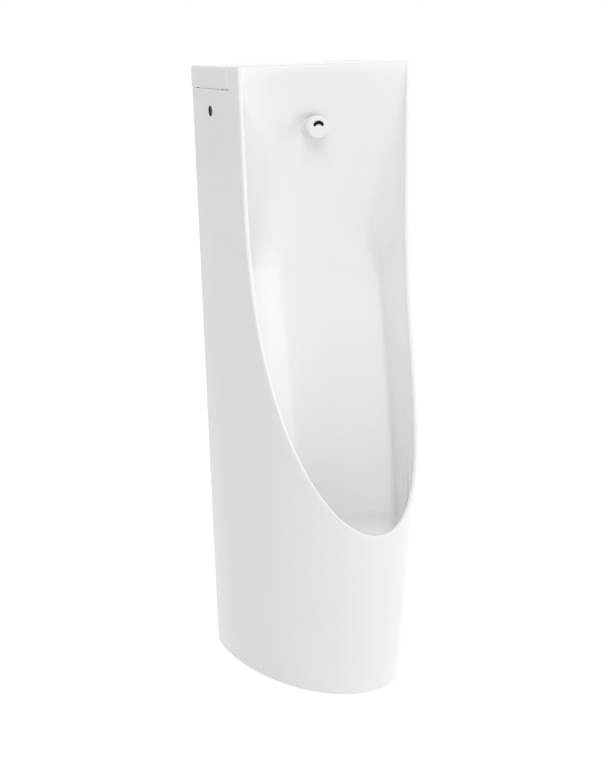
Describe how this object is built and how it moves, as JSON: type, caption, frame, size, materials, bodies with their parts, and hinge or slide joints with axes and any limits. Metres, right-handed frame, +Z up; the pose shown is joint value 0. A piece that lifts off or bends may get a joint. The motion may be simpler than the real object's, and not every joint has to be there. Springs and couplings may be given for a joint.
{
  "type": "floor-standing urinal",
  "caption": "Full-height white ceramic urinal standing on the floor, with a sensor spreader in the bowl, a lift-off top cover over the flush gear and a lift-out trap",
  "frame": {"origin": "The centre of the bounding box's underside: on the floor, on the centre plane, halfway between the wall plane and the lip", "axes": "+Z is up, -Y is the front that the user faces, +X is to the right as seen from the front"},
  "size_m": [0.3118, 0.362, 1],
  "materials": {
    "china": "glossy white glaze",
    "white_plastic": "smooth white moulding",
    "black_plastic": "smooth black moulding",
    "grey_plastic": "satin grey moulding",
    "black_rubber": "dull black rubber",
    "steel": "brushed stainless steel",
    "black_steel": "black zinc on steel",
    "brass": "machined brass",
    "board_green": "green circuit board",
    "battery_case": "painted battery case"
  },
  "bodies": {
    "urinal": {"china_body": "china", "cover_pads": "black_rubber", "spreader_cap": "white_plastic", "sensor_window": "black_plastic", "sensor_board": "board_green", "spreader_stem": "white_plastic", "spreader_seal": "black_rubber", "stem_washer": "black_rubber", "stem_nut": "brass", "feed_elbow": "brass", "supply_tube": "steel", "tube_nuts": "brass", "valve_body": "brass", "diaphragm": "black_rubber", "valve_bonnet": "grey_plastic", "bonnet_screws": "steel", "core_tube": "steel", "solenoid_coil": "black_plastic", "plunger_spring": "steel", "inlet_filter": "steel", "union_nut": "brass", "stop_body": "brass", "stop_gland": "brass", "inlet_nipple": "brass", "valve_shelf": "steel", "service_plate": "steel", "control_box": "grey_plastic", "control_lid": "grey_plastic", "circuit_board": "board_green", "sensor_cable": "black_rubber", "solenoid_lead": "black_rubber", "wall_brackets": "steel", "side_screws": "black_steel", "side_sleeves": "black_rubber", "bracket_nuts": "steel", "plate_screws": "steel", "trap_cup": "grey_plastic", "cup_gasket": "black_rubber", "cup_washer": "black_rubber", "cup_nut": "grey_plastic", "outlet_pipe": "grey_plastic", "pipe_seal": "black_rubber", "floor_flange": "grey_plastic", "flange_seal": "black_rubber"},
    "cover": {"top_cover": "china"},
    "trap_insert": {"strainer": "steel", "trap_tube": "grey_plastic", "trap_seal": "black_rubber"},
    "stop_key": {"stop_spindle": "steel"},
    "plunger": {"plunger": "steel"},
    "battery_pack": {"battery_tray": "black_plastic", "batteries": "battery_case"}
  },
  "joints": [
    {"name": "cover_lift", "type": "slide", "parent": "urinal", "child": "cover", "axis": [0, 0, 1], "range_m": [0, 0.06]},
    {"name": "trap_lift", "type": "slide", "parent": "urinal", "child": "trap_insert", "axis": [0, 0, 1], "range_m": [0, 0.15]},
    {"name": "stop_turn", "type": "hinge", "parent": "urinal", "child": "stop_key", "pos_m": [0.09, 0.125, 0.85], "axis": [0, 0, 1], "range_deg": [0, 90]},
    {"name": "plunger_lift", "type": "slide", "parent": "urinal", "child": "plunger", "axis": [0, 0, 1], "range_m": [0, 0.002], "stiffness_N_per_m": 300, "springref_m": -0.002, "deforming": ["plunger_spring"]},
    {"name": "tray_lift", "type": "slide", "parent": "urinal", "child": "battery_pack", "axis": [0, 0, 1], "range_m": [0, 0.06]}
  ]
}
